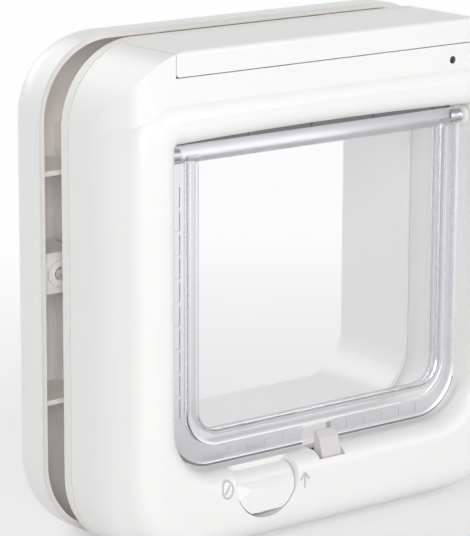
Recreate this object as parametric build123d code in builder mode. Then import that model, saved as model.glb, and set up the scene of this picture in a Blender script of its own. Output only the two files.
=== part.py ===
"""Electronic cat flap: interior housing, clear flap, latch, lock dial, tunnel and exterior frame.

Millimetres. +X to the right seen from indoors, +Y towards outdoors, +Z up.
The origin is under the middle of the whole unit, on the surface that it stands on.
"""

import os
from math import atan, cos, pi, radians, sin, sqrt, tan

from build123d import *

# Overall sizes
frame_size = 210.0  # width and height of both frames
corner_r = 34.0  # outer corners of both frames
inner_depth = 44.0  # interior housing, door face to front
door_gap = 15.5  # door thickness between the two frames
outer_depth = 30.5  # exterior frame, door face to outdoor face
wall = 2.5  # moulded wall of both frames
fit_gap = 0.3  # clearance between pieces that only sit beside each other
hole_slack = 0.2  # radial clearance of a screw's through hole
join_tol = 0.0001  # panel and brow faces closer than this are joined as one

# Interior housing
plate_t = 4.5  # back plate
groove_w = 0.8  # parting groove between back plate and housing
groove_d = 0.8
panel_drop = 12.0  # top of the proud lower panel below the frame's top
shoulder_r = 26.0  # upper corners of the proud lower panel
brow_setback = 2.5  # brow face behind the panel face
brow_height = 60.0  # brow, down to its hidden end in the panel
brow_edge_r = 2.0
soft_front = 9.0  # soft front edge, measured on the face
soft_side = 18.0  # soft front edge, measured on the side
soft_front_r = 12.0
soft_side_r = 26.0
brow_soft_more = 1.0  # the brow's soft front edge is wider by this

# Opening and tunnel
side_rail = 26.0  # opening's side from the frame's side
sill_z = 36.5
top_rail = 37.2  # opening's top at its sides below the frame's top
crown_rise = 1.4  # opening's top in the middle above its sides
opening_low_r = 22.0
opening_top_r = 1.5
lip_r = 7.0
lip_depth = 9.0  # solid collar behind the lip
lip_collar = 9.5  # width of that collar
sleeve_t = 2.0
tube_behind = 6.0  # housing tube behind the hinge plane
sleeve_overlap = 10.0  # exterior sleeve inside the interior sleeve
sleeve_short = 3.5  # interior sleeve ends this far before the exterior frame
outer_lip_r = 1.8
outer_top_r = 5.0  # upper corners of the exterior sleeve

# Flap
flap_side_gap = 3.0
flap_low_gap = 2.1
flap_low_r = 20.0
flange_w = 6.2  # flat flange beside the bead
flange_low_w = 7.9  # flat flange under the bead
flap_panel_t = 2.5
flap_flange_t = 3.0
bead_w = 6.5
bead_front = 4.5  # bead's front face ahead of the hinge plane
bead_back = 2.0
bead_edge_r = 1.6
window_low_r = 10.0
hinge_drop = 5.8  # hinge line below the opening's top at its sides
hinge_set = 13.0  # hinge plane behind the front face
roll_r = 3.6
pocket_pitch = 9.6
pocket_gap = 1.6  # rib left between two pockets
pocket_w = 3.6
pocket_up = 25.4  # lowest pocket of a side above the flap's lower edge
pocket_d = 0.4
notch_w = 14.8
notch_h = 6.4
seal_h = 1.0  # soft seal round the flap's lower edge
seal_t = 1.8
seal_gap = 0.1  # seal from the flap's edge
seal_rise = 14.0  # ends of the seal above the flap's lower edge
pin_r = 1.5
pin_run = 0.05  # radial running clearance of pins and shafts
pin_grip = 5.0  # pin inside the flap
pin_len = 9.0
bush_flange_r = 4.8
bush_r = 3.4
bush_gap = 0.5  # flap end to bush flange
bush_tail = 1.5  # bush outside the tube wall
strip_behind = 4.1  # draught strip behind the hinge line
strip_t = 1.2
strip_up = 2.0  # draught strip's lower edge above the hinge line
strip_pitch = 33.0
strip_joint = 1.0  # gap between two lengths of the strip

# Latch and its drive
latch_w = 10.0
latch_t = 5.6
latch_low_up = -2.4  # where the tongue starts to lean back, from the sill
latch_front_up = 4.9  # upper front edge of the tongue above the sill
latch_back_up = 7.5  # top of the tongue above the sill
latch_lean = 2.2  # how far the tongue's front leans back
latch_top_flat = 1.2
latch_set = 1.8  # tongue's front face behind the front face
latch_slack = 1.8  # slot beside the tongue
latch_front_slack = 0.6  # slot ahead of the tongue
latch_travel = 6.0
latch_foot_t = 3.5
latch_stem_set = 12.0  # rack stem behind the front face
latch_stem_t = 5.0
latch_stem_up = 6.3  # rack stem above the foot
latch_stem_down = 12.1  # rack stem below the foot's top
gear_module = 0.8
pinion_teeth = 12
pressure_angle = 20.0
tooth_height = 0.544  # addendum
tooth_root = 0.8  # dedendum
tooth_slack = 0.12  # backlash on each flank
rack_teeth = 6
rack_back = 1.7  # rack body between stem and tooth roots
flank_steps = 4  # stretches along a pinion tooth's flank
pinion_drop = 0.7  # pinion's axis below the foot's top
motor_r = 7.0
motor_floor = 1.5  # bracket behind the motor
motor_gap = 1.0  # pinion to motor face
motor_shaft_r = 1.0
motor_seat = 2.5  # shaft inside the motor
motor_edge_r = 1.0
shaft_tip = 0.5  # shaft ahead of the pinion
bracket_t = 2.4
bracket_share = 0.72  # how much of the way from plate to motor face the bracket covers

# Lock dial
dial_x = -35.2
dial_drop = 5.8  # dial's centre below the sill
dial_r = 15.6
dial_gap = 0.5
dial_t = 7.6
dial_set = 0.4  # dial's face behind the front face
dial_cup_t = 2.0
dial_recess = 2.4  # dial's upper face behind its grip pad
pad_high = -3.2  # upper edge of the grip pad's face, from the dial's centre
pad_cut = 8.0  # width of that face's sloping upper corners
pad_foot_high = -0.7  # upper edge of the grip pad's foot
pad_foot_cut = 2.4
pad_corner_slope = 0.55  # height of those corners for their width
pad_low = -13.4  # lower edge of the grip pad
undercut_rake = 0.7  # back of the lower undercut below the pad's edge
undercut_d = 4.4
dial_shaft_r = 3.0
dial_rear_t = 3.0
dial_rear_behind = 9.5  # rear cam behind the hinge plane
dial_rear_half = 5.6
cam_gap = 0.6
spigot_r = 1.8  # thinner ends of the dial's shaft
spigot_len = 1.2  # shaft's end inside the dial

# Batteries under the cover
cell_clear = 0.475  # cells from the sides of their bays
cell_body = 49.0
cell_nub = 1.5
cell_nub_r = 2.7
cell_gap = 0.4
cell_edge_r = 0.8
contact_t = 0.5
contact_w = 10.0
contact_drop = 1.0  # contacts below the cells' middle
tray_t = 1.5
tray_wing = 16.0  # side wing that carries the learn button
cover_in = 25.6  # cover's end from the frame's side
cover_drop = 10.2  # cover's lower edge below the frame's top
cover_t = 2.2
cover_seam = 0.4
cover_corner_r = 1.5
cover_back = 8.0  # cover's rear edge ahead of the door face
ledge_w = 3.0
ledge_t = 2.0
light_in = 41.5  # light from the frame's right side
light_drop = 17.0  # light below the frame's top
light_r = 1.6
light_len = 2.7
button_r = 3.0
button_len = 9.0
button_proud = 3.0
button_travel = 1.0
button_edge_r = 0.6

# Reader electronics
coil_t = 2.0
coil_w = 6.0
coil_gap = 0.5  # between the dial's rear cam and the coil
board_left = 28.0  # board's left edge from the middle
board_in = 25.0  # board's right edge from the frame's side
board_low = 9.0
board_drop = 6.5  # board's upper edge below the sill
board_t = 1.6
board_stand = 6.5  # stand-offs of the board
stand_r = 2.5
stand_in = (6.0, 12.0)  # stand-offs from the board's left and right edges
board_corner_r = 2.0
chip_w = 8.0
chip_in = (14.0, 22.0)  # chips from the board's left and right edges
chip_up = 3.0  # right chip above the board's middle
capacitor_r = 2.5
capacitor_in = 5.0
plug_w = 4.0
plug_h = 12.0
plug_in = 8.0
chip_h = 1.6
lens_r = 3.0
lens_ahead = 8.25  # sensor lens ahead of the door face
lens_proud = 1.0  # lens above the sleeve's roof
lens_edge_r = 0.8

# Fastening through the door
screw_in = 11.5  # screws from the frame's sides
screw_up = 8.0  # screws above the frame's middle
screw_r = 2.4
screw_head_r = 4.4
screw_head_t = 3.0
screw_cross_w = 1.2
screw_edge_r = 1.0
screw_spare = 1.0  # insert's thread past the screw's tip
boss_r = 5.2
boss_set = 3.0
boss_cap = 1.0  # closed end of the inner boss
recess_r = 4.9
block_h = 17.0  # square block round the outer boss
block_set = 5.0
recess_deep = 10.5  # screw head seat, from the outdoor face
insert_r = 3.6
insert_len = 10.0
rib_t = 2.0
rib_low = 60.0
rib_drop = 55.0  # upper rib below the frame's top
rib_x = 45.0
rib_set = 2.0  # ribs behind the door face of the exterior frame
soft_outer_r = 22.0
post_r = 4.0
post_in = 16.0  # posts from the frame's sides
post_low = 27.0
post_drop = 38.0  # upper posts below the frame's top
post_hole_deep = 15.0
post_screw_r = 1.45
post_screw_len = 12.0
post_head_r = 2.9
post_head_t = 2.0
post_cross_w = 0.8

# Main planes along Y
total_depth = inner_depth + door_gap + outer_depth
y_front = -total_depth / 2
y_door_in = y_front + inner_depth
y_door_out = y_door_in + door_gap
y_out = y_door_out + outer_depth
y_shell = y_door_in - plate_t
y_brow = y_front + brow_setback
y_hinge = y_front + hinge_set
y_lip_back = y_front + lip_depth
y_tube_end = y_hinge + tube_behind
y_sleeve_in = y_tube_end + fit_gap
y_sleeve_end = y_door_out - sleeve_short
y_recess = y_out - recess_deep
y_tongue = y_front + latch_set
y_stem = y_front + latch_stem_set
y_cam = y_hinge + dial_rear_behind
y_dial = y_front + dial_set
y_dial_face = y_front + dial_recess
y_dial_back = y_dial + dial_t
y_cup_floor = y_dial_back + fit_gap
y_cup_back = y_cup_floor + dial_cup_t
y_light_back = y_brow + light_len

# Main sizes across and upward
half = frame_size / 2
panel_top = frame_size - panel_drop
brow_floor = frame_size - brow_height
opening_half = half - side_rail
arch_spring_z = frame_size - top_rail
arch_crown_z = arch_spring_z + crown_rise
hinge_z = arch_spring_z - hinge_drop
flap_half = opening_half - flap_side_gap
flap_low_z = sill_z + flap_low_gap
bead_half = flap_half - flange_w
bead_low_z = flap_low_z + flange_low_w
window_half = bead_half - bead_w
window_low_z = bead_low_z + bead_w
bush_end = opening_half + sleeve_t + bush_tail
dial_z = sill_z - dial_drop
foot_top = sill_z - lip_collar - fit_gap - latch_travel
pinion_z = foot_top - pinion_drop
cover_half_w = half - cover_in
cover_low_z = frame_size - cover_drop
board_x = (board_left, half - board_in)
board_z = (board_low, sill_z - board_drop)


def front_plane(y):
    """Plane at depth y that faces indoors, with its own y axis upward."""
    return Plane.XZ.offset(-y)


def frame_outline(y, inset):
    """Rounded square of both frames, drawn in by inset."""
    with BuildSketch(front_plane(y)) as face:
        with Locations((0, half)):
            RectangleRounded(frame_size - 2 * inset, frame_size - 2 * inset, corner_r - inset)
    return face.sketch


def opening_outline(y, grow, top_r=opening_top_r):
    """Outline of the passage, grown outward by grow, with upper corners of radius top_r before that."""
    side = opening_half + grow
    spring = arch_spring_z + grow
    with BuildSketch(front_plane(y)) as face:
        with BuildLine():
            Polyline((-side, spring), (-side, sill_z - grow), (side, sill_z - grow), (side, spring))
            ThreePointArc((side, spring), (0, arch_crown_z + grow), (-side, spring))
        make_face()
        fillet(face.vertices().group_by(Axis.Y)[0], opening_low_r + grow)
        fillet(face.vertices().group_by(Axis.Y)[-1], top_r + grow)
    return face.sketch


def panel_body(inset):
    """Proud lower panel of the housing with its soft front edge, drawn in by inset."""
    top = panel_top - inset
    with BuildPart() as body:
        with BuildSketch(front_plane(y_shell)) as face:
            with Locations((0, (top + inset) / 2)):
                Rectangle(frame_size - 2 * inset, top - inset)
            fillet(face.vertices().group_by(Axis.Y)[0], corner_r - inset)
            fillet(face.vertices().group_by(Axis.Y)[-1], shoulder_r - inset)
        extrude(amount=y_shell - y_front - inset)
        front = body.faces().sort_by(Axis.Y)[0]
        chamfer(front.edges(), soft_front, soft_side, reference=front)
        fillet(body.faces().sort_by(Axis.Y)[0].edges(), soft_front_r)
        turn = y_front + inset + soft_side
        fillet(body.edges().filter_by_position(Axis.Y, turn - 0.01, turn + 0.01), soft_side_r)
    return body.part


def brow_body(inset):
    """Upper part of the housing over the batteries, drawn in by inset."""
    y_face = y_brow + inset
    side = half - inset
    with BuildPart() as body:
        extrude(frame_outline(y_shell, inset), amount=y_shell - y_face)
        with BuildSketch(Plane.XY.offset(brow_floor)) as plan:
            with BuildLine():
                Polyline(
                    (-side, y_shell),
                    (-side, y_face + soft_side),
                    (-side + soft_front + brow_soft_more, y_face),
                    (side - soft_front - brow_soft_more, y_face),
                    (side, y_face + soft_side),
                    (side, y_shell),
                    close=True,
                )
            make_face()
            fillet(plan.vertices().filter_by_position(Axis.Y, y_face - 0.01, y_face + 0.01), soft_front_r)
            turn = y_face + soft_side
            fillet(plan.vertices().filter_by_position(Axis.Y, turn - 0.01, turn + 0.01), soft_side_r)
        extrude(amount=frame_size - brow_floor, mode=Mode.INTERSECT)
        with BuildSketch(Plane.YZ.offset(-half)) as side_view:
            with Locations(((y_shell + y_face) / 2, (brow_floor + frame_size - inset) / 2)):
                Rectangle(y_shell - y_face, frame_size - inset - brow_floor)
            fillet(side_view.vertices().group_by(Axis.Y)[-1].sort_by(Axis.X)[0], brow_edge_r)
        extrude(amount=frame_size, mode=Mode.INTERSECT)
    return body.part


def housing_form(inset):
    """Panel and brow joined, without their openings, drawn in by inset."""
    return panel_body(inset).fuse(brow_body(inset), tol=join_tol)


def lip_body(width, y_back, inset=0):
    """Collar round the opening back to depth y_back, with the rounded lip at its front, drawn in by inset."""
    deep = y_back - y_front - inset
    with BuildPart() as ring:
        extrude(opening_outline(y_back, width), amount=deep)
        extrude(opening_outline(y_back, inset), amount=deep, mode=Mode.SUBTRACT)
        fillet(ring.faces().sort_by(Axis.Y)[0].inner_wires()[0].edges(), lip_r)
    return ring.part


def exterior_form(inset):
    """Exterior frame as a full block with its soft outdoor edge, drawn in by inset."""
    with BuildPart() as body:
        extrude(frame_outline(y_out - inset, inset), amount=outer_depth - inset)
        fillet(body.faces().sort_by(Axis.Y)[-1].edges(), soft_outer_r - inset)
    return body.part


def discs(y, spots, radius):
    """Circles of one radius on the plane at depth y."""
    with BuildSketch(front_plane(y)) as face:
        with Locations(*spots):
            Circle(radius)
    return face.sketch


def save(builder, name):
    """Label a finished piece and write it as its own file."""
    builder.part.label = name
    export_step(builder.part, f"parts/{name}.step")


os.makedirs("parts", exist_ok=True)
screw_spots = [(side * (half - screw_in), half + screw_up) for side in (-1, 1)]
post_spots = [(side * (half - post_in), z) for side in (-1, 1) for z in (post_low, frame_size - post_drop)]
dial_spot = [(dial_x, dial_z)]
light_spot = [(half - light_in, frame_size - light_drop)]

# Forms that several pieces share
outer_form = housing_form(0)
inner_form = housing_form(wall)

with BuildPart() as posts:
    extrude(discs(y_shell, post_spots, post_r), amount=y_shell - y_front)
    add(outer_form, mode=Mode.INTERSECT)

with BuildPart() as dial_cup:
    extrude(discs(y_cup_back, dial_spot, dial_r + dial_gap + dial_cup_t), amount=y_cup_back - y_front)
    add(lip_body(sill_z, y_cup_back), mode=Mode.INTERSECT)
    add(outer_form, mode=Mode.INTERSECT)

# Interior housing: outer form less the same form drawn in by the wall
cover_cut_half = cover_half_w + cover_seam
y_cover_back = y_door_in - cover_back
ledge_top = frame_size - cover_t - fit_gap
slot_half = latch_w / 2 + latch_slack
y_slot = y_tongue - latch_front_slack

with BuildPart() as interior_housing:
    add(outer_form)
    add(inner_form, mode=Mode.SUBTRACT)
    extrude(opening_outline(y_front, lip_collar), amount=-lip_depth, mode=Mode.SUBTRACT)
    add(lip_body(lip_collar, y_lip_back))
    extrude(opening_outline(y_tube_end, sleeve_t), amount=y_tube_end - y_lip_back)
    extrude(opening_outline(y_tube_end, 0), amount=y_tube_end - y_lip_back, mode=Mode.SUBTRACT)
    add(posts.part)
    add(dial_cup.part)
    # Holes of the posts, the dial's pocket and its shaft
    extrude(discs(y_shell, post_spots, post_screw_r + pin_run), amount=post_hole_deep, mode=Mode.SUBTRACT)
    pocket_deep = y_cup_floor - y_front
    extrude(discs(y_cup_floor, dial_spot, dial_r + dial_gap), amount=pocket_deep, mode=Mode.SUBTRACT)
    extrude(discs(y_cup_back, dial_spot, dial_shaft_r + pin_run), amount=dial_cup_t, mode=Mode.SUBTRACT)
    # Slot of the latch tongue through the lip and under the flap
    with BuildSketch(Plane.XY.offset(sill_z - lip_collar)):
        with Locations((0, (y_slot + y_hinge) / 2)):
            Rectangle(2 * slot_half, y_hinge - y_slot)
    extrude(amount=2 * lip_collar, mode=Mode.SUBTRACT)
    # Seats of the hinge bushes
    with BuildSketch(Plane.YZ.offset(-bush_end - fit_gap)):
        with Locations((y_hinge, hinge_z)):
            Circle(bush_r + pin_run)
    extrude(amount=2 * (bush_end + fit_gap), mode=Mode.SUBTRACT)
    # Battery opening with its ledge, and the hole of the status light
    with BuildSketch(front_plane(y_cover_back + cover_seam)):
        with Locations((0, cover_low_z - cover_seam)):
            Rectangle(2 * cover_cut_half, frame_size, align=(Align.CENTER, Align.MIN))
    extrude(amount=inner_depth, mode=Mode.SUBTRACT)
    with BuildSketch(Plane.XY.offset(ledge_top)):
        y_ledge = y_brow + wall
        with Locations((0, y_ledge)):
            Rectangle(2 * (cover_cut_half + wall), y_shell - y_ledge, align=(Align.CENTER, Align.MIN))
            Rectangle(
                2 * (cover_cut_half - ledge_w),
                y_cover_back - ledge_w - y_ledge,
                align=(Align.CENTER, Align.MIN),
                mode=Mode.SUBTRACT,
            )
    extrude(amount=-ledge_t)
    extrude(discs(y_brow + wall, light_spot, light_r + pin_run), amount=wall, mode=Mode.SUBTRACT)
    # Parting groove at the back plate
    extrude(frame_outline(y_shell, 0) - frame_outline(y_shell, groove_d), amount=groove_w, mode=Mode.SUBTRACT)
save(interior_housing, "interior_housing")

# Back plate with the tunnel sleeve, screw bosses and board stand-offs
board_y = y_shell - board_stand
board_mid_z = sum(board_z) / 2
stand_spots = [(x, board_mid_z) for x in (board_x[0] + stand_in[0], board_x[1] - stand_in[1])]
sleeve_len = y_sleeve_end - y_sleeve_in
cam_slot_half = dial_r + cam_gap

with BuildPart() as interior_back_plate:
    extrude(frame_outline(y_door_in, 0), amount=plate_t)
    extrude(opening_outline(y_sleeve_end, sleeve_t), amount=sleeve_len)
    extrude(opening_outline(y_sleeve_end, 0), amount=sleeve_len, mode=Mode.SUBTRACT)
    extrude(discs(y_door_in, screw_spots, boss_r), amount=insert_len + boss_cap)
    extrude(discs(y_door_in, screw_spots, insert_r + pin_run), amount=insert_len, mode=Mode.SUBTRACT)
    extrude(discs(y_door_in, stand_spots, stand_r), amount=plate_t + board_stand)
    extrude(discs(y_door_in, post_spots, post_screw_r + hole_slack), amount=plate_t, mode=Mode.SUBTRACT)
    head_seat = post_head_r + fit_gap
    extrude(discs(y_door_in, post_spots, head_seat), amount=post_head_t + fit_gap, mode=Mode.SUBTRACT)
    # Slot for the rear cam of the lock dial in the sleeve's floor
    with BuildSketch(Plane.XY.offset(dial_z)):
        with Locations((dial_x, y_cam + dial_rear_t / 2)):
            Rectangle(2 * cam_slot_half, dial_rear_t + 2 * cam_gap)
    extrude(amount=dial_r, mode=Mode.SUBTRACT)
    # Seat of the sensor lens in the sleeve's roof
    with BuildSketch(Plane.XY.offset(hinge_z)):
        with Locations((0, y_door_in - lens_ahead)):
            Circle(lens_r + pin_run)
    extrude(amount=arch_crown_z + 2 * sleeve_t - hinge_z, mode=Mode.SUBTRACT)
save(interior_back_plate, "interior_back_plate")

# Exterior frame: hollow towards the door, stiffened by ribs, with two screw bosses
outer_full = exterior_form(0)
outer_hollow = exterior_form(wall)
outer_sleeve_len = y_out - y_sleeve_end + sleeve_overlap
rib_deep = outer_depth - rib_set

with BuildPart() as outer_ribs:
    with BuildSketch(front_plane(y_out)):
        for z in (rib_low, frame_size - rib_drop):
            with Locations((0, z)):
                Rectangle(frame_size, rib_t)
        for x in (-rib_x, rib_x):
            with Locations((x, half)):
                Rectangle(rib_t, frame_size)
    extrude(amount=rib_deep)
    with BuildSketch(front_plane(y_out)):
        with Locations(*screw_spots):
            Rectangle(2 * screw_in, block_h)
    extrude(amount=outer_depth - block_set)
    extrude(discs(y_out, screw_spots, boss_r), amount=outer_depth - boss_set)
    add(outer_full, mode=Mode.INTERSECT)

with BuildPart() as exterior_frame:
    add(outer_full)
    add(outer_hollow, mode=Mode.SUBTRACT)
    add(outer_ribs.part)
    extrude(opening_outline(y_out, -fit_gap, outer_top_r), amount=outer_sleeve_len)
    inside = -fit_gap - sleeve_t
    extrude(opening_outline(y_out, inside, outer_top_r), amount=outer_sleeve_len, mode=Mode.SUBTRACT)
    extrude(discs(y_out, screw_spots, recess_r), amount=y_out - y_recess, mode=Mode.SUBTRACT)
    extrude(discs(y_out, screw_spots, screw_r + hole_slack), amount=outer_depth, mode=Mode.SUBTRACT)
    rim = exterior_frame.faces().sort_by(Axis.Y)[-1].inner_wires()[0].edges()
    fillet(rim, outer_lip_r)
save(exterior_frame, "exterior_frame")

# Clear flap: panel and flange, bead round the window, hinge roll, pockets, latch notch and lower seal
flange_mid = (flap_half + bead_half) / 2
flange_low_mid = (flap_low_z + bead_low_z) / 2
pocket_len = pocket_pitch - pocket_gap
pocket_low_z = flap_low_z + pocket_up
pocket_rows = int((hinge_z - roll_r - pocket_low_z) / pocket_pitch)
pocket_columns = int((flap_half - flap_low_r - notch_w / 2) / pocket_pitch)


def hung_outline(y, half_width, low_z, low_r):
    """Outline that hangs from the hinge line, with rounded lower corners."""
    with BuildSketch(front_plane(y)) as face:
        with Locations((0, (low_z + hinge_z) / 2)):
            Rectangle(2 * half_width, hinge_z - low_z)
        fillet(face.vertices().group_by(Axis.Y)[0], low_r)
    return face.sketch


with BuildPart() as bead:
    y_bead = y_hinge + bead_back
    bead_t = bead_back + bead_front
    extrude(hung_outline(y_bead, bead_half, bead_low_z, window_low_r + bead_w), amount=bead_t)
    extrude(hung_outline(y_bead, window_half, window_low_z, window_low_r), amount=bead_t, mode=Mode.SUBTRACT)
    bead_front_edges = bead.faces().sort_by(Axis.Y)[0].edges()
    fillet(bead_front_edges.filter_by_position(Axis.Z, 0, hinge_z - 0.01), bead_edge_r)

with BuildPart() as flap:
    y_flange = y_hinge + flap_flange_t / 2
    extrude(hung_outline(y_flange, flap_half, flap_low_z, flap_low_r), amount=flap_flange_t)
    with BuildSketch(front_plane(y_hinge - flap_flange_t / 2)):
        for row in range(pocket_rows):
            with Locations((0, pocket_low_z + row * pocket_pitch)):
                with GridLocations(2 * flange_mid, 0, 2, 1):
                    Rectangle(pocket_w, pocket_len)
        for step in range(pocket_columns):
            with Locations((0, flange_low_mid)):
                with GridLocations(notch_w + pocket_pitch + 2 * step * pocket_pitch, 0, 2, 1):
                    Rectangle(pocket_len, pocket_w)
    extrude(amount=-pocket_d, mode=Mode.SUBTRACT)
    thin = (flap_flange_t - flap_panel_t) / 2
    extrude(hung_outline(y_flange, window_half, window_low_z, window_low_r), amount=thin, mode=Mode.SUBTRACT)
    y_panel = y_hinge - flap_panel_t / 2
    extrude(hung_outline(y_panel, window_half, window_low_z, window_low_r), amount=thin, mode=Mode.SUBTRACT)
    add(bead.part)
    with BuildSketch(Plane.YZ.offset(-flap_half)):
        with Locations((y_hinge, hinge_z)):
            Circle(roll_r)
    extrude(amount=2 * flap_half)
    with BuildSketch(front_plane(y_hinge + bead_back)):
        with Locations((0, flap_low_z)):
            Rectangle(notch_w, 2 * notch_h)
    extrude(amount=bead_back + bead_front, mode=Mode.SUBTRACT)
    for end in (-1, 1):
        with BuildSketch(Plane.YZ.offset(end * flap_half)):
            with Locations((y_hinge, hinge_z)):
                Circle(pin_r + pin_run)
        extrude(amount=-end * pin_grip, mode=Mode.SUBTRACT)
save(flap, "flap")

with BuildPart() as flap_seal:
    y_seal = y_hinge + seal_t / 2
    for grow, mode in ((seal_gap + seal_h, Mode.ADD), (seal_gap, Mode.SUBTRACT)):
        ring = hung_outline(y_seal, flap_half + grow, flap_low_z - grow, flap_low_r + grow)
        extrude(ring, amount=seal_t, mode=mode)
    with BuildSketch(front_plane(y_seal)):
        with Locations((0, flap_low_z + seal_rise)):
            Rectangle(frame_size, frame_size, align=(Align.CENTER, Align.MIN))
        with Locations((0, flap_low_z)):
            Rectangle(notch_w, 4 * seal_h)
    extrude(amount=seal_t, mode=Mode.SUBTRACT)
save(flap_seal, "flap_seal")

# Hinge pins in the flap's ends, turning in flanged bushes in the housing
bush_face = flap_half + bush_gap

for end, side in ((-1, "left"), (1, "right")):
    with BuildPart() as hinge_pin:
        with BuildSketch(Plane.YZ.offset(end * (flap_half - pin_grip))):
            with Locations((y_hinge, hinge_z)):
                Circle(pin_r)
        extrude(amount=end * pin_len)
        chamfer(hinge_pin.edges(), pin_r / 5)
    save(hinge_pin, f"hinge_pin_{side}")

    with BuildPart() as hinge_bush:
        with BuildSketch(Plane.YZ.offset(end * bush_face)):
            with Locations((y_hinge, hinge_z)):
                Circle(bush_flange_r)
        extrude(amount=end * (opening_half - fit_gap - bush_face))
        with BuildSketch(Plane.YZ.offset(end * bush_face)):
            with Locations((y_hinge, hinge_z)):
                Circle(bush_r)
        extrude(amount=end * (bush_end - bush_face))
        with BuildSketch(Plane.YZ.offset(end * bush_face)):
            with Locations((y_hinge, hinge_z)):
                Circle(pin_r + pin_run)
        extrude(amount=end * pin_len, mode=Mode.SUBTRACT)
    save(hinge_bush, f"hinge_bush_{side}")

# Draught strip in short lengths under the tube's roof, behind the hinge roll
y_strip = y_hinge + strip_behind
strip_half = flap_half - fit_gap
strip_joints = int(strip_half / strip_pitch)

with BuildPart() as draught_strip:
    with BuildSketch(front_plane(y_strip + strip_t)):
        add(opening_outline(y_strip + strip_t, -fit_gap))
        strip_low = hinge_z + strip_up
        with Locations((0, strip_low)):
            Rectangle(2 * strip_half, frame_size, align=(Align.CENTER, Align.MIN), mode=Mode.INTERSECT)
        for joint in range(-strip_joints, strip_joints + 1):
            with Locations((joint * strip_pitch, half)):
                Rectangle(strip_joint, frame_size, mode=Mode.SUBTRACT)
    extrude(amount=strip_t)
save(draught_strip, "draught_strip")

# Latch: tongue in the lip's slot, foot under the lip and a rack on the stem behind it
pitch = pi * gear_module
pitch_r = gear_module * pinion_teeth / 2
rack_x = latch_w / 2 + rack_back + tooth_root
pinion_x = rack_x + pitch_r
stem_low = foot_top - latch_stem_down
stem_top = foot_top + latch_stem_up
lean = tan(radians(pressure_angle))
tooth_half = pitch / 4 - tooth_slack

with BuildPart() as latch:
    with BuildSketch(Plane.YZ.offset(-latch_w / 2)):
        with BuildLine():
            y_back = y_tongue + latch_t
            y_heel = y_front + wall + fit_gap
            heel_top = sill_z - lip_collar + fit_gap
            Polyline(
                (y_heel, foot_top - latch_foot_t),
                (y_heel, heel_top),
                (y_tongue, heel_top),
                (y_tongue, sill_z + latch_low_up),
                (y_tongue + latch_lean, sill_z + latch_front_up),
                (y_back - latch_top_flat, sill_z + latch_back_up),
                (y_back, sill_z + latch_back_up),
                (y_back, foot_top),
                (y_stem, foot_top),
                (y_stem, stem_top),
                (y_stem + latch_stem_t, stem_top),
                (y_stem + latch_stem_t, stem_low),
                (y_stem, stem_low),
                (y_stem, foot_top - latch_foot_t),
                close=True,
            )
        make_face()
    extrude(amount=latch_w)
    with BuildSketch(front_plane(y_stem + latch_stem_t)):
        with Locations((latch_w / 2, stem_low)):
            Rectangle(rack_back, stem_top - stem_low, align=(Align.MIN, Align.MIN))
        for tooth in range(rack_teeth):
            with Locations((rack_x, pinion_z + (tooth - rack_teeth + 2.5) * pitch)):
                Polygon(
                    (-tooth_root, -tooth_half - tooth_root * lean),
                    (tooth_height, -tooth_half + tooth_height * lean),
                    (tooth_height, tooth_half - tooth_height * lean),
                    (-tooth_root, tooth_half + tooth_root * lean),
                    align=None,
                )
    extrude(amount=latch_stem_t)
save(latch, "latch")

# Pinion with involute teeth on the motor's shaft
base_r = pitch_r * cos(radians(pressure_angle))
tip_r = pitch_r + tooth_height
root_r = pitch_r - tooth_root


def flank_angle(r):
    """Half the angle that a pinion tooth spans at radius r, in radians."""
    reach = sqrt(max(r * r - base_r * base_r, 0)) / base_r
    at_pitch = lean - radians(pressure_angle)
    return tooth_half / pitch_r + at_pitch - (reach - atan(reach))


flank_radii = [base_r + (tip_r - base_r) * step / flank_steps for step in range(flank_steps + 1)]
flank = [(r * cos(flank_angle(r)), r * sin(flank_angle(r))) for r in flank_radii]
foot = (root_r / 2, flank[0][1])
tooth_points = [foot, *flank]
tooth_outline = tooth_points + [(x, -y) for x, y in reversed(tooth_points)]
y_pinion_back = y_stem + latch_stem_t
y_motor = y_pinion_back + motor_gap
pinion_spot = [(pinion_x, pinion_z)]

with BuildPart() as latch_pinion:
    with BuildSketch(front_plane(y_pinion_back)):
        with Locations(*pinion_spot):
            Circle(root_r)
            with PolarLocations(0, pinion_teeth, start_angle=180):
                Polygon(*tooth_outline, align=None)
            Circle(motor_shaft_r + pin_run, mode=Mode.SUBTRACT)
    extrude(amount=latch_stem_t)
save(latch_pinion, "latch_pinion")

with BuildPart() as motor_shaft:
    shaft_len = latch_stem_t + motor_gap + motor_seat + shaft_tip
    extrude(discs(y_motor + motor_seat, pinion_spot, motor_shaft_r), amount=shaft_len)
save(motor_shaft, "motor_shaft")

# Geared motor in a bracket on the back plate
motor_len = y_shell - y_motor - motor_floor

with BuildPart() as latch_motor:
    extrude(discs(y_motor + motor_len, pinion_spot, motor_r), amount=motor_len)
    fillet(latch_motor.edges(), motor_edge_r)
    shaft_hole = discs(y_motor + motor_seat + fit_gap, pinion_spot, motor_shaft_r + pin_run)
    extrude(shaft_hole, amount=motor_seat + fit_gap, mode=Mode.SUBTRACT)
save(latch_motor, "latch_motor")

with BuildPart() as motor_bracket:
    bracket_size = 2 * (motor_r + bracket_t)
    bracket_deep = (y_shell - y_motor) * bracket_share
    with BuildSketch(front_plane(y_shell)):
        with Locations(*pinion_spot):
            RectangleRounded(bracket_size, bracket_size, bracket_t)
    extrude(amount=bracket_deep)
    bore_len = bracket_deep - motor_floor + fit_gap
    bore = discs(y_shell - bracket_deep + bore_len, pinion_spot, motor_r + pin_run)
    extrude(bore, amount=bore_len, mode=Mode.SUBTRACT)
save(motor_bracket, "motor_bracket")

# Lock dial: drum under the lip's curve, raised grip pad, shaft under the flap and rear cam
pad_foot = dial_z + pad_low


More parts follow.
